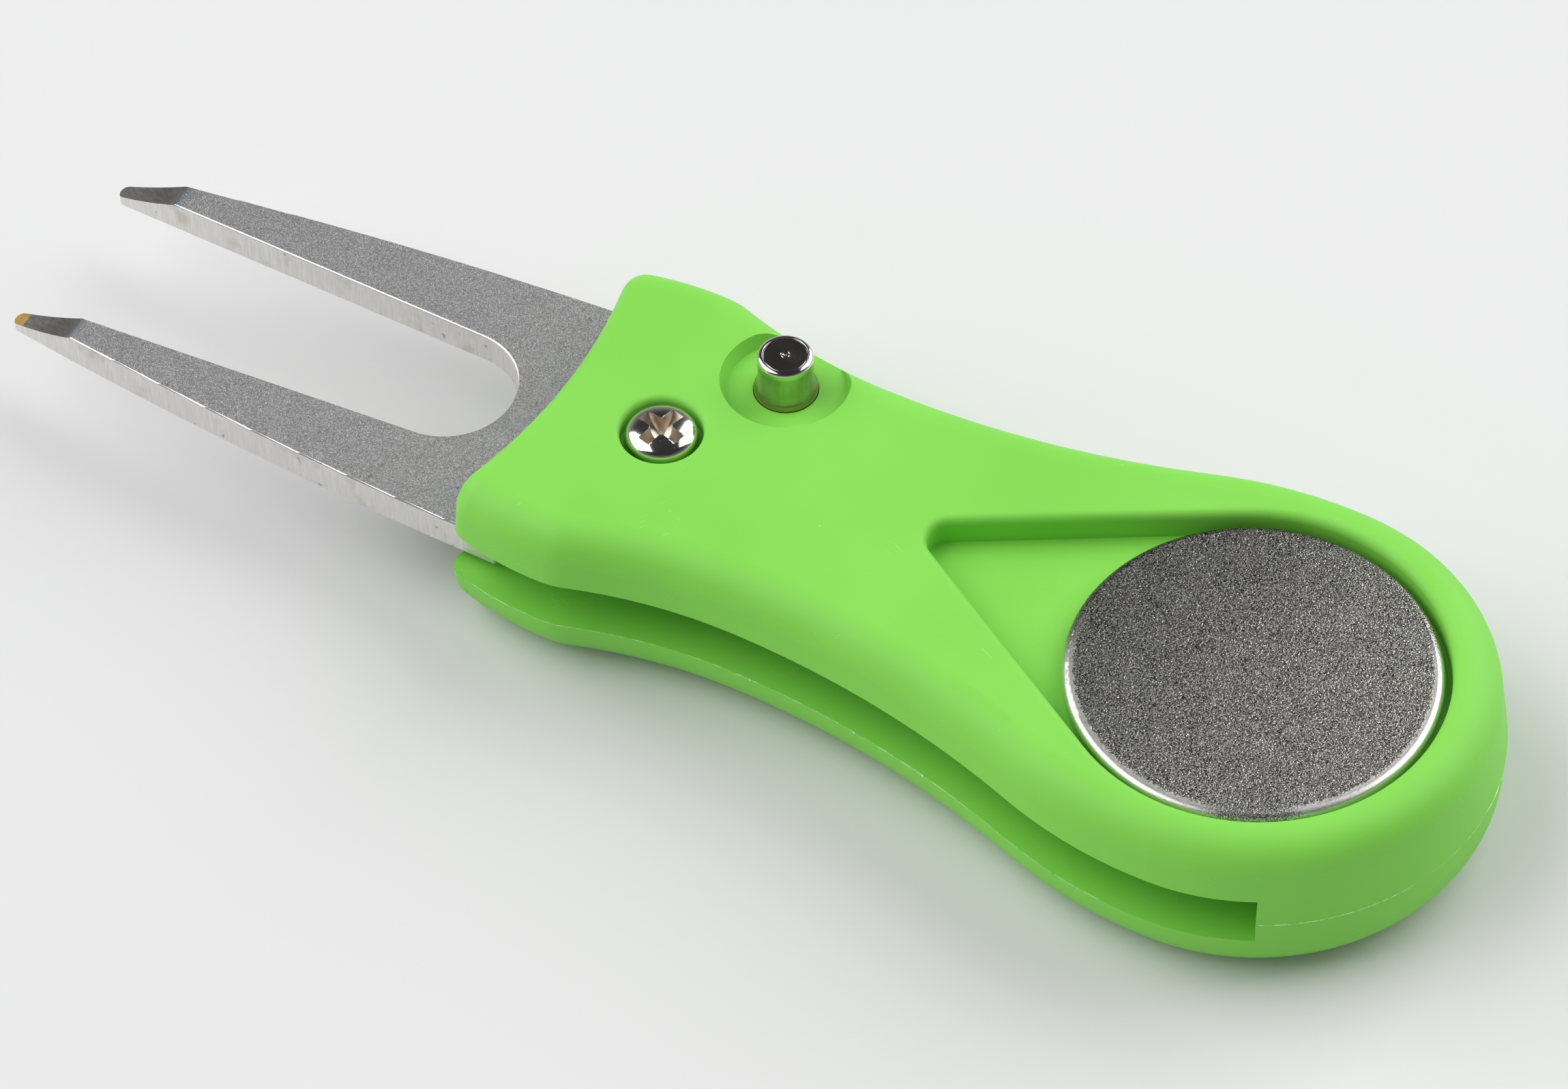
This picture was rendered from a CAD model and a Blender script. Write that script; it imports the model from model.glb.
"""Looks of the folding divot repair tool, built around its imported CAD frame. Metres, +X towards the tail, +Z up."""

import math
import random
import bmesh
import bpy
from mathutils import Matrix, Vector
from mathutils.bvhtree import BVHTree


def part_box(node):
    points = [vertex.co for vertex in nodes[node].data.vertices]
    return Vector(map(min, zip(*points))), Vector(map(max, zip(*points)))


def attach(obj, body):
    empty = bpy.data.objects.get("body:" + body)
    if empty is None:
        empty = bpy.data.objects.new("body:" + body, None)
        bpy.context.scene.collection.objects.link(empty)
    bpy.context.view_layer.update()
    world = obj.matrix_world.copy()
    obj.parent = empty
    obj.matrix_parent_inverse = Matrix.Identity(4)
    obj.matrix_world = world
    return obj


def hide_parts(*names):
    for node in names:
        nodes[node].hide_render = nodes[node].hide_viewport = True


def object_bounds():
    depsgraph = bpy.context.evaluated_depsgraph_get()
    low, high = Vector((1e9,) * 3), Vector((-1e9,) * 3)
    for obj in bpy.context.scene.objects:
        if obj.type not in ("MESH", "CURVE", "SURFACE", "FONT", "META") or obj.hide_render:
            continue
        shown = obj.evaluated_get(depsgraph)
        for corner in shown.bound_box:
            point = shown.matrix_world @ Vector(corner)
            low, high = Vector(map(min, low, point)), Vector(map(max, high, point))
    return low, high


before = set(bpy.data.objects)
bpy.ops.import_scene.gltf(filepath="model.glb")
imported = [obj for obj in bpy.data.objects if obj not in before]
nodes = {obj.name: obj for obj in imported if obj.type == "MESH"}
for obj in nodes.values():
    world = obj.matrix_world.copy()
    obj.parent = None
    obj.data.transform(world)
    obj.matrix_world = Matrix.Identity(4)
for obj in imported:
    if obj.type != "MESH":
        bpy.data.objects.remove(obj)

MM = 0.001
cad_box = [list(corner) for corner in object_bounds()]

# ---------------------------------------------------------------- node helpers


def shade(name):
    """A new material with nodes, its tree emptied but for the output, and its shader."""
    made = bpy.data.materials.new(name)
    made.use_nodes = True
    tree = made.node_tree
    tree.nodes.clear()
    out = tree.nodes.new("ShaderNodeOutputMaterial")
    shader = tree.nodes.new("ShaderNodeBsdfPrincipled")
    tree.links.new(shader.outputs["BSDF"], out.inputs["Surface"])
    return made, tree, shader


def plug(tree, socket, value):
    """Links value into socket if it is a socket, and otherwise sets it as the socket's own number or colour."""
    if isinstance(value, bpy.types.NodeSocket):
        tree.links.new(value, socket)
    else:
        socket.default_value = value


def node(tree, kind, inputs=None, **settings):
    made = tree.nodes.new(kind)
    for key, value in settings.items():
        setattr(made, key, value)
    for key, value in (inputs or {}).items():
        plug(tree, made.inputs[key], value)
    return made


def calc(tree, how, a, b=0.0, clamp=False):
    return node(tree, "ShaderNodeMath", {0: a, 1: b}, operation=how, use_clamp=clamp).outputs[0]


def ramp(tree, value, low, high, to_low=0.0, to_high=1.0):
    """value taken smoothly from low..high to to_low..to_high."""
    made = node(tree, "ShaderNodeMapRange", {
        "Value": value, "From Min": low, "From Max": high, "To Min": to_low, "To Max": to_high,
    }, interpolation_type="SMOOTHSTEP")
    return made.outputs["Result"]


def blend_colour(tree, share, a, b):
    made = node(tree, "ShaderNodeMix", {"Factor": share, 6: a, 7: b}, data_type="RGBA")
    return made.outputs[2]


def noise(tree, where, scale, detail=2.0, roughness=0.5, distortion=0.0):
    made = node(tree, "ShaderNodeTexNoise", {
        "Vector": where, "Scale": scale, "Detail": detail, "Roughness": roughness, "Distortion": distortion,
    })
    return made.outputs["Fac"]


def stretched(tree, where, scale, turn=0.0):
    """where scaled by three numbers, after a turn about Z."""
    turned = node(tree, "ShaderNodeMapping", {"Vector": where, "Rotation": (0.0, 0.0, turn)})
    return node(tree, "ShaderNodeMapping", {"Vector": turned.outputs[0], "Scale": scale}).outputs[0]


def place(tree):
    """The point on the object in metres, its three parts, and the surface's own upward share."""
    where = node(tree, "ShaderNodeTexCoord")
    parts = node(tree, "ShaderNodeSeparateXYZ", {"Vector": where.outputs["Object"]})
    normal = node(tree, "ShaderNodeSeparateXYZ", {"Vector": where.outputs["Normal"]})
    return where.outputs["Object"], parts.outputs, normal.outputs["Z"]


def bump(tree, shader, height, distance, strength=1.0, under=None):
    made = node(tree, "ShaderNodeBump", {"Height": height, "Distance": distance, "Strength": strength})
    if under is not None:
        tree.links.new(under, made.inputs["Normal"])
    tree.links.new(made.outputs["Normal"], shader.inputs["Normal"])
    return made.outputs["Normal"]


def streaks(tree, where, turns, length, width, cut):
    """Short bright dashes of that length and width in metres, lying along each of the turns, as a mask."""
    mask = None
    for number, turn in enumerate(turns):
        field = stretched(tree, where, (1 / length, 1 / width, 1 / width), turn)
        shifted = node(tree, "ShaderNodeVectorMath", {0: field, 1: (7.3 * number, 3.1 * number, 0.0)}, operation="ADD")
        dash = ramp(tree, noise(tree, shifted.outputs[0], 1.0, 0.0), cut, cut + 0.05)
        mask = dash if mask is None else calc(tree, "MAXIMUM", mask, dash)
    return mask


# ---------------------------------------------------------------- materials



def green_plastic(name):
    """Matte moulded ABS: a fine spark-eroded grain, faint flow patches, a few pale scuffs and specks."""
    made, tree, shader = shade(name)
    where, parts, up = place(tree)
    patches = noise(tree, where, 70.0, 3.0)
    body = blend_colour(tree, ramp(tree, patches, 0.3, 0.7), (0.205, 0.635, 0.066, 1.0),
                        (0.225, 0.670, 0.076, 1.0))
    scuffs = streaks(tree, where, (0.4, 2.1), 0.0011, 0.00009, 0.80)
    rare = ramp(tree, noise(tree, where, 160.0, 1.0), 0.60, 0.66)
    scuffs = calc(tree, "MULTIPLY", scuffs, rare)
    dots = node(tree, "ShaderNodeTexVoronoi", {"Vector": where, "Scale": 330.0, "Randomness": 1.0})
    specks = ramp(tree, dots.outputs["Distance"], 0.035, 0.015)
    marks = calc(tree, "MULTIPLY", calc(tree, "MAXIMUM", scuffs, specks), 0.30)
    worn = blend_colour(tree, marks, body, (0.60, 0.86, 0.45, 1.0))
    plug(tree, shader.inputs["Base Color"], worn)
    grain = noise(tree, where, 7500.0, 3.0, 0.6)
    plug(tree, shader.inputs["Roughness"], calc(tree, "ADD", ramp(tree, patches, 0.3, 0.7, 0.46, 0.54), calc(tree, "MULTIPLY", grain, 0.06)))
    shader.inputs["IOR"].default_value = 1.46
    wave = bump(tree, shader, noise(tree, where, 140.0, 1.0), 0.00006, 0.6)
    bump(tree, shader, grain, 0.0000045, 0.8, wave)
    return made


def tumbled_steel(name, dark, light, fleck, cut, dash, grain, rough, grain_depth, marks):
    """Barrel-finished sheet steel: a dense grain of tiny dents with short bright dashes lying every way."""
    made, tree, shader = shade(name)
    where, parts, up = place(tree)
    shader.inputs["Metallic"].default_value = 1.0
    fine = noise(tree, where, grain, 2.0, 0.6)
    broad = noise(tree, where, 420.0, 3.0, 0.6)
    share = calc(tree, "ADD", ramp(tree, fine, 0.40, 0.60, 0.0, 0.85), ramp(tree, broad, 0.3, 0.7, 0.0, 0.15))
    body = blend_colour(tree, share, dark, light)
    dashes = streaks(tree, where, (0.3, 1.1, 1.9, 2.7), dash, dash * 0.45, cut)
    body = blend_colour(tree, dashes, body, fleck)
    roughness = calc(tree, "SUBTRACT", ramp(tree, fine, 0.4, 0.6, rough + 0.05, rough - 0.05), calc(tree, "MULTIPLY", dashes, 0.08), True)
    height = calc(tree, "SUBTRACT", fine, calc(tree, "MULTIPLY", dashes, 0.6))
    body, roughness, height = marks(tree, where, parts, up, body, roughness, height)
    plug(tree, shader.inputs["Base Color"], body)
    plug(tree, shader.inputs["Roughness"], roughness)
    bump(tree, shader, height, grain_depth, 1.0)
    return made


fork_low, fork_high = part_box("fork")
bevel_start = fork_low.x + 4.85 * MM


def fork_marks(tree, where, parts, up, body, roughness, height):
    """Sheared sides with upright streaks, ground bevels at the tine ends, and the ochre stain on one end."""
    x, y, z = parts["X"], parts["Y"], parts["Z"]
    side = ramp(tree, calc(tree, "ABSOLUTE", up), 0.55, 0.30)
    lines = noise(tree, stretched(tree, where, (7500.0, 7500.0, 500.0)), 1.0, 3.0, 0.65)
    stain = ramp(tree, noise(tree, where, 480.0, 2.0), 0.56, 0.78, 0.0, 0.38)
    sheared = blend_colour(tree, ramp(tree, lines, 0.3, 0.7), (0.75, 0.73, 0.70, 1.0), (0.84, 0.82, 0.79, 1.0))
    sheared = blend_colour(tree, stain, sheared, (0.47, 0.39, 0.31, 1.0))
    body = blend_colour(tree, side, body, sheared)
    roughness = node(tree, "ShaderNodeMix", {"Factor": side, 2: roughness, 3: ramp(tree, lines, 0.3, 0.7, 0.50, 0.36)}).outputs[0]
    height = node(tree, "ShaderNodeMix", {"Factor": side, 2: height, 3: calc(tree, "MULTIPLY", lines, 0.5)}).outputs[0]
    tilt = calc(tree, "ABSOLUTE", up)
    rolled = calc(tree, "MULTIPLY", ramp(tree, tilt, 0.985, 0.93), ramp(tree, tilt, 0.20, 0.40))
    body = blend_colour(tree, calc(tree, "MULTIPLY", rolled, 0.9), body, (0.86, 0.85, 0.83, 1.0))
    roughness = node(tree, "ShaderNodeMix", {"Factor": rolled, 2: roughness, 3: 0.30}).outputs[0]
    height = calc(tree, "MULTIPLY", height, ramp(tree, rolled, 0.0, 1.0, 1.0, 0.15))
    scratch = streaks(tree, where, (0.7, 2.3), 0.0026, 0.00006, 0.76)
    scratch = calc(tree, "MULTIPLY", scratch, ramp(tree, noise(tree, where, 260.0, 1.0), 0.50, 0.60))
    body = blend_colour(tree, calc(tree, "MULTIPLY", scratch, 0.45), body, (0.85, 0.85, 0.85, 1.0))
    spot = ramp(tree, noise(tree, where, 1500.0, 1.0), 0.72, 0.78, 0.0, 0.5)
    body = blend_colour(tree, spot, body, (0.16, 0.15, 0.15, 1.0))
    wander = calc(tree, "MULTIPLY", calc(tree, "SUBTRACT", noise(tree, where, 900.0, 2.0), 0.5), 0.0006)
    along = calc(tree, "ADD", x, wander)
    flat = calc(tree, "SUBTRACT", 1.0, side)
    bevel = calc(tree, "MULTIPLY", ramp(tree, along, bevel_start + 0.0002, bevel_start - 0.0002), flat)
    brushed = noise(tree, stretched(tree, where, (1500.0, 4500.0, 1500.0), 0.5), 1.0, 3.0, 0.6)
    ground = blend_colour(tree, ramp(tree, brushed, 0.30, 0.75), (0.29, 0.272, 0.255, 1.0), (0.43, 0.405, 0.39, 1.0))
    body = blend_colour(tree, bevel, body, ground)
    blue = calc(tree, "SUBTRACT", ramp(tree, along, bevel_start - 0.0007, bevel_start), ramp(tree, along, bevel_start, bevel_start + 0.0008), True)
    body = blend_colour(tree, calc(tree, "MULTIPLY", calc(tree, "MULTIPLY", blue, flat), 0.55), body, (0.30, 0.35, 0.41, 1.0))
    ends = calc(tree, "SUBTRACT", x, calc(tree, "MULTIPLY", wander, 0.6))
    near_end = calc(tree, "MULTIPLY", ramp(tree, ends, fork_low.x + 0.00108, fork_low.x + 0.00092),
                    ramp(tree, y, 0.0, -0.001))
    corner = node(tree, "ShaderNodeVectorMath", {0: where, 1: (fork_low.x + 0.0004, 0.0068, 0.0054)}, operation="DISTANCE")
    far_spot = ramp(tree, calc(tree, "ADD", corner.outputs["Value"], wander), 0.00055, 0.00035)
    ochre = calc(tree, "MAXIMUM", near_end, far_spot)
    gold = blend_colour(tree, noise(tree, where, 2500.0, 2.0), (0.56, 0.36, 0.075, 1.0), (0.80, 0.56, 0.17, 1.0))
    ochre = calc(tree, "MULTIPLY", ochre, flat)
    body = blend_colour(tree, calc(tree, "MULTIPLY", ochre, 0.92), body, gold)
    roughness = calc(tree, "ADD", roughness, calc(tree, "MULTIPLY", ochre, 0.15), True)
    return body, roughness, height


marker_low, marker_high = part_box("ball_marker")
marker_centre = (marker_low + marker_high) / 2
marker_radius = (marker_high.x - marker_low.x) / 2


def marker_marks(tree, where, parts, up, body, roughness, height):
    """A burnished rolled rim, long handling scratches, a darker side, and a few pale rubbed blotches."""
    from_middle = node(tree, "ShaderNodeVectorMath", {0: where, 1: tuple(marker_centre)}, operation="SUBTRACT").outputs[0]
    level = node(tree, "ShaderNodeVectorMath", {0: from_middle, 1: (1.0, 1.0, 0.0)}, operation="MULTIPLY").outputs[0]
    radius = node(tree, "ShaderNodeVectorMath", {0: level}, operation="LENGTH").outputs["Value"]
    heading = node(tree, "ShaderNodeVectorMath", {0: level}, operation="NORMALIZE").outputs[0]
    worn_side = node(tree, "ShaderNodeVectorMath", {0: level, 1: (0.93, -0.37, 0.0)}, operation="DOT_PRODUCT").outputs["Value"]
    sheen = ramp(tree, worn_side, -marker_radius, 0.3 * marker_radius, 0.70, 1.0)
    body = node(tree, "ShaderNodeVectorMath", {0: body, "Scale": sheen}, operation="SCALE").outputs[0]
    wander = calc(tree, "MULTIPLY", calc(tree, "SUBTRACT", noise(tree, where, 5200.0, 2.0), 0.5), 0.0007)
    rim = ramp(tree, calc(tree, "ADD", radius, wander), marker_radius - 0.00085, marker_radius - 0.00065)
    unworn = node(tree, "ShaderNodeVectorMath", {0: heading, 1: (0.45, -0.893, 0.0)}, operation="DOT_PRODUCT").outputs["Value"]
    rim = calc(tree, "MULTIPLY", rim, ramp(tree, unworn, 0.995, 0.955, 0.2, 1.0))
    rim = calc(tree, "MULTIPLY", rim, ramp(tree, unworn, -0.35, 0.0))
    body = blend_colour(tree, calc(tree, "MULTIPLY", rim, 0.85), body, (0.82, 0.80, 0.77, 1.0))
    roughness = node(tree, "ShaderNodeMix", {"Factor": rim, 2: roughness, 3: 0.30}).outputs[0]
    height = calc(tree, "MULTIPLY", height, ramp(tree, rim, 0.0, 1.0, 1.0, 0.35))
    blotch = ramp(tree, noise(tree, where, 330.0, 1.0), 0.66, 0.80)
    body = blend_colour(tree, calc(tree, "MULTIPLY", blotch, 0.20), body, (0.55, 0.56, 0.58, 1.0))
    scratch = streaks(tree, where, (1.35, 1.22), 0.0052, 0.00007, 0.80)
    scratch = calc(tree, "MULTIPLY", scratch, ramp(tree, noise(tree, where, 210.0, 1.0), 0.52, 0.60))
    body = blend_colour(tree, calc(tree, "MULTIPLY", scratch, 0.75), body, (0.92, 0.90, 0.88, 1.0))
    height = calc(tree, "SUBTRACT", height, calc(tree, "MULTIPLY", scratch, 0.8))
    return body, roughness, height


def bright_nickel(name, base, rough):
    """Bright nickel plate with a faint haze and a few pits."""
    made, tree, shader = shade(name)
    where, parts, up = place(tree)
    shader.inputs["Metallic"].default_value = 1.0
    haze = noise(tree, where, 600.0, 3.0)
    pits = node(tree, "ShaderNodeTexVoronoi", {"Vector": where, "Scale": 4200.0})
    pit = ramp(tree, pits.outputs["Distance"], 0.16, 0.06)
    few = ramp(tree, noise(tree, where, 1400.0, 1.0), 0.52, 0.60)
    pit = calc(tree, "MULTIPLY", pit, few)
    body = blend_colour(tree, ramp(tree, haze, 0.35, 0.7), base, tuple(0.88 * c for c in base[:3]) + (1.0,))
    body = blend_colour(tree, calc(tree, "MULTIPLY", pit, 0.5), body, (0.25, 0.22, 0.20, 1.0))
    plug(tree, shader.inputs["Base Color"], body)
    plug(tree, shader.inputs["Roughness"], ramp(tree, haze, 0.3, 0.7, rough, rough + 0.06))
    bump(tree, shader, calc(tree, "SUBTRACT", haze, pit), 0.000006, 0.7)
    return made


def turned_nickel(name, centre, top, foot):
    """Nickel-plated turned steel: lathe rings on the face, a cloudy stem, and tarnish gathered round its foot."""
    made, tree, shader = shade(name)
    where, parts, up = place(tree)
    shader.inputs["Metallic"].default_value = 1.0
    from_middle = node(tree, "ShaderNodeVectorMath", {0: where, 1: tuple(centre)}, operation="SUBTRACT").outputs[0]
    level = node(tree, "ShaderNodeVectorMath", {0: from_middle, 1: (1.0, 1.0, 0.0)}, operation="MULTIPLY").outputs[0]
    radius = node(tree, "ShaderNodeVectorMath", {0: level}, operation="LENGTH").outputs["Value"]
    rings = noise(tree, node(tree, "ShaderNodeCombineXYZ", {"X": radius}).outputs[0], 16000.0, 3.0, 0.7)
    haze = noise(tree, where, 900.0, 3.0)
    clouds = noise(tree, stretched(tree, where, (1500.0, 1500.0, 350.0)), 1.0, 3.0)
    stem = ramp(tree, parts["Z"], top - 0.00045, top - 0.00070)
    body = blend_colour(tree, ramp(tree, rings, 0.35, 0.65), (0.78, 0.76, 0.73, 1.0), (0.60, 0.58, 0.56, 1.0))
    cloudy = blend_colour(tree, ramp(tree, clouds, 0.35, 0.65), (0.52, 0.51, 0.44, 1.0), (0.42, 0.41, 0.34, 1.0))
    body = blend_colour(tree, stem, body, cloudy)
    edge = calc(tree, "ADD", parts["Z"], calc(tree, "MULTIPLY", calc(tree, "SUBTRACT", haze, 0.5), 0.0007))
    tarnish = ramp(tree, edge, foot + 0.00050, foot + 0.00022)
    body = blend_colour(tree, calc(tree, "MULTIPLY", tarnish, 0.75), body, (0.36, 0.27, 0.13, 1.0))
    plug(tree, shader.inputs["Base Color"], body)
    rough = ramp(tree, haze, 0.3, 0.7, 0.07, 0.13)
    plug(tree, shader.inputs["Roughness"], calc(tree, "ADD", rough, calc(tree, "MULTIPLY", stem, 0.14)))
    bump(tree, shader, rings, 0.0000018, 0.8)
    return made


def plain_metal(name, base, rough):
    """Turned or drawn metal that is mostly inside the handle: fine streaks and small stains."""
    made, tree, shader = shade(name)
    where, parts, up = place(tree)
    shader.inputs["Metallic"].default_value = 1.0
    lines = noise(tree, stretched(tree, where, (900.0, 900.0, 7000.0)), 1.0, 3.0)
    stains = noise(tree, where, 700.0, 3.0)
    body = blend_colour(tree, ramp(tree, stains, 0.4, 0.75), base, tuple(0.7 * c for c in base[:3]) + (1.0,))
    plug(tree, shader.inputs["Base Color"], body)
    plug(tree, shader.inputs["Roughness"], ramp(tree, lines, 0.3, 0.7, rough, rough + 0.15))
    bump(tree, shader, lines, 0.000004, 0.8)
    return made


def natural_acetal(name):
    """Off-white low-friction plastic with faint wear."""
    made, tree, shader = shade(name)
    where, parts, up = place(tree)
    wear = noise(tree, where, 900.0, 3.0)
    plug(tree, shader.inputs["Base Color"], blend_colour(
        tree, ramp(tree, wear, 0.35, 0.7), (0.80, 0.79, 0.74, 1.0), (0.66, 0.65, 0.60, 1.0)))
    plug(tree, shader.inputs["Roughness"], ramp(tree, wear, 0.3, 0.7, 0.32, 0.45))
    bump(tree, shader, wear, 0.000008, 0.6)
    return made


def flash_plastic(name):
    """Thin stress-whitened plastic squeezed out at a mould's joint."""
    made, tree, shader = shade(name)
    where, parts, up = place(tree)
    pale = noise(tree, where, 1600.0, 2.0)
    plug(tree, shader.inputs["Base Color"], blend_colour(
        tree, ramp(tree, pale, 0.40, 0.65), (0.26, 0.72, 0.11, 1.0), (0.70, 0.92, 0.56, 1.0)))
    plug(tree, shader.inputs["Roughness"], ramp(tree, pale, 0.3, 0.7, 0.40, 0.60))
    bump(tree, shader, noise(tree, where, 9000.0, 2.0), 0.000008, 0.8)
    return made


def floor_paint(name):
    """Pale matt board with a barely seen mottle."""
    made, tree, shader = shade(name)
    where, parts, up = place(tree)
    mottle = noise(tree, where, 9.0, 3.0)
    plug(tree, shader.inputs["Base Color"], blend_colour(
        tree, ramp(tree, mottle, 0.3, 0.7), (0.705, 0.705, 0.71, 1.0), (0.72, 0.72, 0.72, 1.0)))
    plug(tree, shader.inputs["Roughness"], ramp(tree, mottle, 0.3, 0.7, 0.72, 0.78))
    shader.inputs["Specular IOR Level"].default_value = 0.25
    return made


def paint(name, made):
    slots = nodes[name].data.materials
    for index in range(max(1, len(slots))):
        if index < len(slots):
            slots[index] = made
        else:
            slots.append(made)


shell_green = green_plastic("shell_green")
paint("top_shell", shell_green)
paint("bottom_shell", shell_green)
paint("fork", tumbled_steel(
    "fork_steel", (0.33, 0.328, 0.328, 1.0), (0.60, 0.598, 0.598, 1.0), (0.80, 0.80, 0.80, 1.0),
    0.66, 0.00016, 6200.0, 0.44, 0.000011, fork_marks))
paint("ball_marker", tumbled_steel(
    "marker_steel", (0.008, 0.0076, 0.0076, 1.0), (0.40, 0.374, 0.368, 1.0), (1.0, 0.95, 0.93, 1.0),
    0.675, 0.00011, 7600.0, 0.25, 0.000026, marker_marks))
paint("pivot_sleeve", plain_metal("sleeve_steel", (0.55, 0.55, 0.54, 1.0), 0.25))
paint("threaded_insert", plain_metal("insert_brass", (0.78, 0.57, 0.25, 1.0), 0.28))
paint("upper_washer", natural_acetal("washer_acetal"))
paint("lower_washer", nodes["upper_washer"].data.materials[0])
paint("opening_spring", plain_metal("spring_wire", (0.50, 0.50, 0.52, 1.0), 0.22))
paint("button_spring", nodes["opening_spring"].data.materials[0])
paint("marker_magnet", bright_nickel("magnet_nickel", (0.66, 0.65, 0.62, 1.0), 0.22))

# ---------------------------------------------------------------- mesh helpers


def keep(name, mesh, body, made, sharp_degrees=32.0):
    """Links mesh as a smooth-shaded piece that rides on body."""
    mesh.shade_smooth()
    mesh.set_sharp_from_angle(angle=math.radians(sharp_degrees))
    if made is not None:
        mesh.materials.append(made)
    piece = bpy.data.objects.new(name, mesh)
    bpy.context.scene.collection.objects.link(piece)
    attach(piece, body)
    return piece


def lathe(profile, centre, steps, turn=0.0):
    """A closed bmesh: profile is (radius, height) pairs in mm from the axis back to the axis, turned round centre."""
    made = bmesh.new()
    rings = []
    for radius, height in profile:
        if radius < 1e-6:
            rings.append([made.verts.new((centre.x, centre.y, height * MM))])
            continue
        ring = []
        for step in range(steps):
            angle = turn + 2 * math.pi * step / steps
            ring.append(made.verts.new((centre.x + radius * MM * math.cos(angle),
                                        centre.y + radius * MM * math.sin(angle), height * MM)))
        rings.append(ring)
    for low, high in zip(rings, rings[1:]):
        for step in range(steps):
            a, b = low[step % len(low)], low[(step + 1) % len(low)]
            c, d = high[(step + 1) % len(high)], high[step % len(high)]
            corners = []
            for corner in (a, b, c, d):
                if corner not in corners:
                    corners.append(corner)
            if len(corners) > 2:
                made.faces.new(corners)
    bmesh.ops.recalc_face_normals(made, faces=made.faces)
    return made


def arc(centre, radius, start, end, count):
    """Points of an arc in a profile, from start to end degrees."""
    points = []
    for step in range(count + 1):
        angle = math.radians(start + (end - start) * step / count)
        points.append((centre[0] + radius * math.cos(angle), centre[1] + radius * math.sin(angle)))
    return points


def as_mesh(name, made):
    mesh = bpy.data.meshes.new(name)
    made.to_mesh(mesh)
    made.free()
    return mesh


# ---------------------------------------------------------------- lock button

button_low, button_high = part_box("lock_button")
button_centre = (button_low + button_high) / 2
button_top = button_high.z / MM
button_foot = button_low.z / MM


FACE_RADIUS = 1.44
RIM_RADIUS = 1.835


def button_profile():
    """From the middle of the face outwards and down: turned rings, rounded rim, waisted stem, collar, spring bore."""
    rng = random.Random(5)
    face = button_top - 0.03
    points = [(0.0, face + 0.028), (0.05, face + 0.022), (0.085, face - 0.010), (0.13, face - 0.010),
              (0.16, face), (0.24, face), (0.265, face - 0.022), (0.295, face - 0.022), (0.32, face + 0.004)]
    radius = 0.37
    while radius < FACE_RADIUS - 0.08:
        points.append((radius, face + rng.uniform(0.0005, 0.0025)))
        points.append((radius + 0.035, face - rng.uniform(0.0005, 0.0025)))
        radius += rng.uniform(0.075, 0.12)
    points += [(FACE_RADIUS - 0.03, face), (FACE_RADIUS, face - 0.035), (FACE_RADIUS + 0.03, face - 0.035),
               (FACE_RADIUS + 0.06, face + 0.020), (FACE_RADIUS + 0.075, button_top)]
    points += arc((RIM_RADIUS - 0.30, button_top - 0.30), 0.30, 88, 0, 10)
    points += [(RIM_RADIUS - 0.004, button_top - 0.60), (RIM_RADIUS - 0.018, button_top - 1.1),
               (RIM_RADIUS - 0.022, button_top - 1.7), (RIM_RADIUS - 0.010, button_top - 2.2),
               (RIM_RADIUS + 0.020, button_top - 2.50), (RIM_RADIUS + 0.080, button_top - 2.70),
               (RIM_RADIUS + 0.160, button_top - 2.84), (2.085, button_top - 2.96), (2.11, button_top - 3.06)]
    collar_top = button_foot + 3.75
    points += [(2.11, collar_top), (2.64, collar_top), (2.70, collar_top - 0.06), (2.70, button_foot + 0.06),
               (2.64, button_foot), (1.41, button_foot), (1.35, button_foot + 0.06), (1.35, button_foot + 5.4),
               (0.0, button_foot + 5.4)]
    return points


button_mesh = as_mesh("lock_button_turned", lathe(button_profile(), button_centre, 128))
button = keep("lock_button_turned", button_mesh, "button",
              turned_nickel("button_nickel", button_centre, button_high.z, button_high.z - 3.06 * MM))
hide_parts("lock_button")

# ---------------------------------------------------------------- pivot screw

screw_low, screw_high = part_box("pivot_screw")
screw_centre = (screw_low + screw_high) / 2
screw_top = screw_high.z / MM
screw_end = screw_low.z / MM
HEAD_RADIUS = 2.38
HEAD_HEIGHT = 1.80
CROWN_DROP = 0.90
CROWN_STEPS = 40
SHANK_RADIUS = 1.25
THREAD_ROOT = 0.98
THREAD_TOP = 3.4
PITCH = 0.40
RECESS_TURN = math.radians(-14.0)
RECESS_LEVELS = [
    (0.30, 1.72, 0.47, 0.16),
    (-0.12, 1.62, 0.45, 0.15),
    (-0.78, 1.30, 0.38, 0.12),
    (-1.18, 0.74, 0.30, 0.09),
    (-1.40, 0.34, 0.16, 0.05),
    (-1.45, 0.14, 0.07, 0.03),
]


def screw_profile():
    """Pan head, flat seat, plain shank and a threaded end, from the crown down to the point."""
    points = [(0.0, screw_top)]
    for step in range(1, CROWN_STEPS + 1):
        share = math.sin(math.pi / 2 * step / CROWN_STEPS)
        points.append((HEAD_RADIUS * share, screw_top - CROWN_DROP * (1 - math.sqrt(max(0.0, 1 - share ** 4)))))
    seat = screw_top - HEAD_HEIGHT
    points += [(HEAD_RADIUS, seat + 0.12), (HEAD_RADIUS - 0.10, seat), (SHANK_RADIUS + 0.05, seat),
               (SHANK_RADIUS, seat - 0.05), (SHANK_RADIUS, THREAD_TOP)]
    height = THREAD_TOP
    while height > screw_end + 0.7:
        height -= PITCH
        points += [(THREAD_ROOT, height + PITCH / 2), (SHANK_RADIUS, height)]
    points += [(1.0, height - 0.1), (0.55, screw_end), (0.0, screw_end)]
    return points


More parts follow.
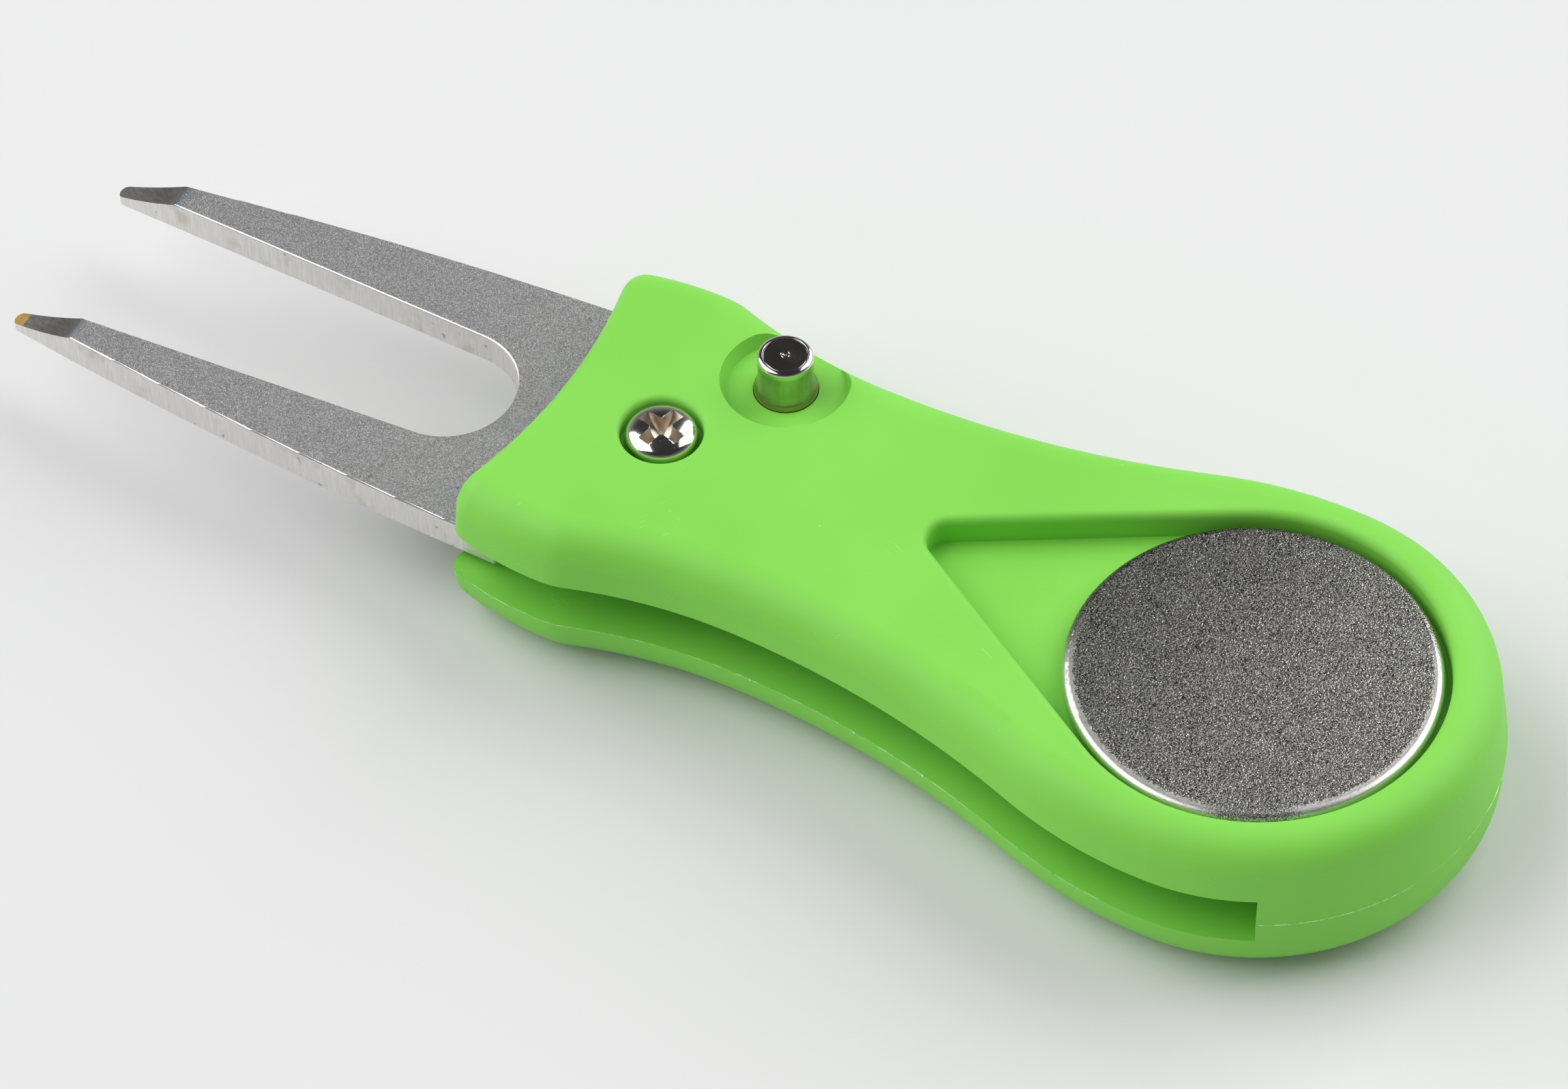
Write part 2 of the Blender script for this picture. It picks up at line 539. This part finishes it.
def cross_outline(reach, half, web):
    """The outline of a cross with chamfered inner corners, as sixteen (x, y) pairs in mm."""
    quarter = [(reach, -half), (reach, half), (half + web, half), (half, half + web)]
    outline = []
    for corner in range(4):
        angle = corner * math.pi / 2
        for x, y in quarter:
            outline.append((x * math.cos(angle) - y * math.sin(angle), x * math.sin(angle) + y * math.cos(angle)))
    return outline


def recess_cutter():
    """The driver recess: wings whose floors slope in to a point under the middle of the head."""
    made = bmesh.new()
    rings = []
    for level, reach, half, web in RECESS_LEVELS:
        ring = []
        for x, y in cross_outline(reach, half, web):
            turned = Matrix.Rotation(RECESS_TURN, 2) @ Vector((x, y))
            ring.append(made.verts.new((screw_centre.x + turned.x * MM, screw_centre.y + turned.y * MM,
                                        (screw_top + level) * MM)))
        rings.append(ring)
    count = len(rings[0])
    for low, high in zip(rings, rings[1:]):
        for step in range(count):
            after = (step + 1) % count
            made.faces.new((low[step], low[after], high[after], high[step]))
    made.faces.new(rings[0])
    made.faces.new(rings[-1])
    bmesh.ops.recalc_face_normals(made, faces=made.faces)
    for face in made.faces:
        face.material_index = 1
    return as_mesh("recess_cutter", made)


screw_nickel = bright_nickel("screw_nickel", (0.80, 0.77, 0.73, 1.0), 0.10)
recess_nickel = bright_nickel("recess_nickel", (0.72, 0.64, 0.55, 1.0), 0.30)


def cut_screw():
    """The screw with its recess cut out, and its edges softly rounded."""
    blank = bpy.data.objects.new("screw_blank", as_mesh("screw_blank", lathe(screw_profile(), screw_centre, 96)))
    cutter = bpy.data.objects.new("recess_cutter", recess_cutter())
    for thing in (blank, cutter):
        bpy.context.scene.collection.objects.link(thing)
        thing.data.materials.append(screw_nickel)
        thing.data.materials.append(recess_nickel)
    cut = blank.modifiers.new("recess", "BOOLEAN")
    cut.operation = "DIFFERENCE"
    cut.solver = "EXACT"
    cut.object = cutter
    soften = blank.modifiers.new("soften", "BEVEL")
    soften.width = 0.06 * MM
    soften.segments = 2
    soften.limit_method = "ANGLE"
    soften.angle_limit = math.radians(35.0)
    bpy.context.view_layer.update()
    evaluated = blank.evaluated_get(bpy.context.evaluated_depsgraph_get())
    mesh = bpy.data.meshes.new_from_object(evaluated)
    mesh.name = "pivot_screw_cross"
    for thing in (blank, cutter):
        bpy.data.objects.remove(thing)
    return mesh


screw = keep("pivot_screw_cross", cut_screw(), "handle", None, 40.0)
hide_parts("pivot_screw")

# ---------------------------------------------------------------- mould flash and burrs

upper_low, upper_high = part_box("top_shell")
lower_low, lower_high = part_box("bottom_shell")
seam_z = lower_high.z
slot_floor_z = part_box("lower_washer")[0].z
tail_radius = upper_high.y
tail_x = upper_high.x - tail_radius
graph = bpy.context.evaluated_depsgraph_get()
lower_tree = BVHTree.FromObject(nodes["bottom_shell"], graph)
upper_tree = BVHTree.FromObject(nodes["top_shell"], graph)
flash_green = flash_plastic("flash_green")
REACH = 0.08


def wall_points(tree, rays):
    """Where each (start, direction) ray meets the shell, with the outward level normal there."""
    found = []
    for start, direction in rays:
        hit, normal, _, distance = tree.ray_cast(Vector(start), Vector(direction), REACH)
        if hit is not None:
            outward = Vector((normal.x, normal.y, 0.0))
            if outward.length > 0.3:
                found.append((hit, outward.normalized()))
    return found


def ribbon(name, found, heights, rise, z):
    """A thin three-sided fin along the found wall points, heights metres proud, rise metres tall at its root."""
    made = bmesh.new()
    rings = []
    for (point, outward), height in zip(found, heights):
        root = Vector((point.x, point.y, z)) - outward * 0.00003
        tip = root + outward * (0.00003 + height)
        tip.x = min(max(tip.x, cad_box[0][0]), cad_box[1][0])
        tip.y = min(max(tip.y, cad_box[0][1]), cad_box[1][1])
        half = Vector((0.0, 0.0, rise / 2 * (0.35 + min(1.0, height / 0.00004))))
        rings.append([made.verts.new(root - half), made.verts.new(tip), made.verts.new(root + half)])
    for low, high in zip(rings, rings[1:]):
        for step in range(3):
            after = (step + 1) % 3
            made.faces.new((low[step], low[after], high[after], high[step]))
    made.faces.new(rings[0])
    made.faces.new(rings[-1])
    bmesh.ops.recalc_face_normals(made, faces=made.faces)
    return keep(name, as_mesh(name, made), "handle", flash_green)


def uneven(count, seed, low, high, gaps):
    """Heights that wander between low and high, and drop to nearly nothing in a share of stretches."""
    rng = random.Random(seed)
    knots = [rng.uniform(low, high) * (0.12 if rng.random() < gaps else 1.0) for _ in range(count // 9 + 3)]
    heights = []
    for step in range(count):
        place_on = step / 9
        first = int(place_on)
        share = place_on - first
        value = knots[first] * (1 - share) + knots[first + 1] * share
        heights.append(value * rng.uniform(0.75, 1.25))
    return heights


SLOT_REACH = 0.0125
tail_rays = []
for step in range(241):
    angle = math.radians(-118 + 208 * step / 240)
    outward = Vector((math.cos(angle), math.sin(angle), 0.0))
    start = Vector((tail_x, 0.0, seam_z - 0.00004)) + outward * 0.05
    tail_rays.append((start, -outward))
tail_seam = [found for found in wall_points(lower_tree, tail_rays)
             if math.hypot(found[0].x - tail_x, found[0].y) > SLOT_REACH]
ribbon("tail_seam_flash", tail_seam, uneven(len(tail_seam), 11, 0.00002, 0.00006, 0.45), 0.00007, seam_z)

back_rays = []
for step in range(200):
    x = tail_x - 0.0002 - (tail_x + 0.0125) * step / 199
    back_rays.append(((x, 0.05, seam_z - 0.00004), (0.0, -1.0, 0.0)))
back_seam = wall_points(lower_tree, back_rays)
ribbon("back_seam_flash", back_seam, uneven(len(back_seam), 12, 0.00001, 0.00003, 0.6), 0.00006, seam_z)

jaw_rays = []
for step in range(260):
    x = -0.0140 + 0.0475 * step / 259
    jaw_rays.append(((x, -0.05, slot_floor_z - 0.00004), (0.0, 1.0, 0.0)))
jaw_edge = wall_points(lower_tree, jaw_rays)
ribbon("jaw_edge_flash", jaw_edge, uneven(len(jaw_edge), 13, 0.000004, 0.000022, 0.6), 0.00003, slot_floor_z)


def chip(made, centre, size, seed):
    """A small ragged lump of torn flash."""
    rng = random.Random(seed)
    part = bmesh.ops.create_icosphere(made, subdivisions=2, radius=1.0)["verts"]
    for vert in part:
        push = 1.0 + rng.uniform(-0.28, 0.28)
        vert.co = Vector((vert.co.x * size[0], vert.co.y * size[1], vert.co.z * size[2])) * push + centre


burr_mesh = bmesh.new()
for number, (share, size) in enumerate(((0.30, 0.5), (0.42, 1.0), (0.52, 0.7), (0.585, 1.1), (0.65, 1.15), (0.70, 1.2),
                                        (0.715, 0.6), (0.93, 0.8), (0.955, 0.5))):
    point, outward = jaw_edge[int(share * (len(jaw_edge) - 1))]
    chip(burr_mesh, Vector((point.x, point.y, slot_floor_z)) + outward * 0.00001,
         (0.00009 * size, 0.00005 * size, 0.00006 * size), 40 + number)
keep("jaw_burrs", as_mesh("jaw_burrs", burr_mesh), "handle", flash_green, 60.0)

# ---------------------------------------------------------------- camera, floor and light

AZIMUTH, ELEVATION, ROLL = math.radians(30.64), math.radians(49.12), math.radians(-1.61)
DISTANCE = 475.2 * MM
TARGET = Vector((5.11, -4.95, 11.28)) * MM
LENS = 171.87


def aim_camera():
    look = Vector((-math.sin(AZIMUTH) * math.cos(ELEVATION), math.cos(AZIMUTH) * math.cos(ELEVATION), -math.sin(ELEVATION)))
    right = look.cross(Vector((0.0, 0.0, 1.0))).normalized()
    up = right.cross(look)
    level_right = right * math.cos(ROLL) + up * math.sin(ROLL)
    level_up = up * math.cos(ROLL) - right * math.sin(ROLL)
    data = bpy.data.cameras.new("camera")
    data.lens = LENS
    data.sensor_width = 36.0
    data.sensor_fit = "HORIZONTAL"
    data.clip_start = 0.02
    data.clip_end = 50.0
    camera = bpy.data.objects.new("camera", data)
    camera.matrix_world = Matrix.Translation(TARGET - look * DISTANCE) @ Matrix(
        (level_right, level_up, -look)).transposed().to_4x4()
    bpy.context.scene.collection.objects.link(camera)
    bpy.context.scene.camera = camera
    return Vector((right.x, right.y, 0.0)).normalized()


across = aim_camera()
forward = Vector((across.y, -across.x, 0.0))


def softbox(name, sideways, towards, up, distance, width, height, power):
    """A rectangular lamp in the direction sideways*across + towards*forward + up, facing the tool."""
    direction = (across * sideways + forward * towards + Vector((0.0, 0.0, up))).normalized()
    data = bpy.data.lights.new(name, "AREA")
    data.shape = "RECTANGLE"
    data.size = width
    data.size_y = height
    data.energy = power
    lamp = bpy.data.objects.new(name, data)
    lamp.location = direction * distance
    lamp.rotation_mode = "QUATERNION"
    lamp.rotation_quaternion = direction.to_track_quat("Z", "Y")
    bpy.context.scene.collection.objects.link(lamp)


softbox("left_box", -0.70, -0.12, 0.70, 3.0, 3.2, 3.2, 81.0)
softbox("right_box", 0.68, -0.42, 0.60, 1.8, 1.86, 1.86, 28.4)

AMBIENT = 0.33
BACKDROP = 0.84
world = bpy.data.worlds.new("studio")
bpy.context.scene.world = world
world.use_nodes = True
sky = world.node_tree
sky.nodes.clear()
direction = node(sky, "ShaderNodeTexCoord")
height = node(sky, "ShaderNodeSeparateXYZ", {"Vector": direction.outputs["Generated"]}).outputs["Z"]
glow = ramp(sky, height, 0.0, 0.7, 0.34, 0.035)
path = node(sky, "ShaderNodeLightPath")
strength = node(sky, "ShaderNodeMix", {"Factor": path.outputs["Is Diffuse Ray"], 2: glow, 3: AMBIENT}).outputs[0]
strength = node(sky, "ShaderNodeMix", {"Factor": path.outputs["Is Camera Ray"], 2: strength, 3: BACKDROP}).outputs[0]
backdrop = node(sky, "ShaderNodeBackground", {"Color": (1.0, 1.0, 1.0, 1.0), "Strength": strength})
out = node(sky, "ShaderNodeOutputWorld", {"Surface": backdrop.outputs[0]})

floor_shape = bmesh.new()
bmesh.ops.create_circle(floor_shape, cap_ends=True, segments=96, radius=9.0)
floor = bpy.data.objects.new("floor", as_mesh("floor", floor_shape))
floor.data.materials.append(floor_paint("floor_paint"))
bpy.context.scene.collection.objects.link(floor)
floor.location.z = cad_box[0][2] - 0.00002

view = bpy.context.scene.view_settings
view.view_transform = "Standard"
view.look = "None"
view.exposure = 0.0
view.gamma = 1.0

bpy.context.view_layer.update()
